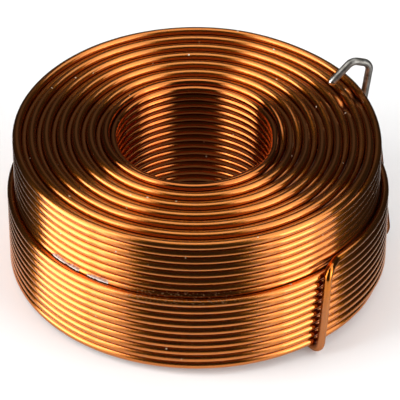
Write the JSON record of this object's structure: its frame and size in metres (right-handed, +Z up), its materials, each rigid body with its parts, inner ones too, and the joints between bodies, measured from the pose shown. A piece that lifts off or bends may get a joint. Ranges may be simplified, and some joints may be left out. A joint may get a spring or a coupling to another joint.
{
  "type": "air core inductor",
  "caption": "Self-supporting air core inductor: enamelled copper wire wound in nested, bonded layers round an open bore, with its tinned leads folded round the winding.",
  "frame": {"origin": "on the bore axis, in the plane under the folded leads that the part rests on", "axes": "+Z up along the bore axis, -Y towards the front, +X to the side where both leads are folded"},
  "size_m": [0.051, 0.0498, 0.0247],
  "materials": {
    "enamelled_copper": "glossy clear amber enamel over copper",
    "tinned_copper": "dull solder coat",
    "dried_adhesive": "dried, flaked"
  },
  "bodies": {
    "root": {"winding": "enamelled_copper", "start_lead": "enamelled_copper", "start_tinned_end": "tinned_copper", "finish_lead": "enamelled_copper", "finish_tinned_end": "tinned_copper", "adhesive": "dried_adhesive"}
  },
  "joints": []
}
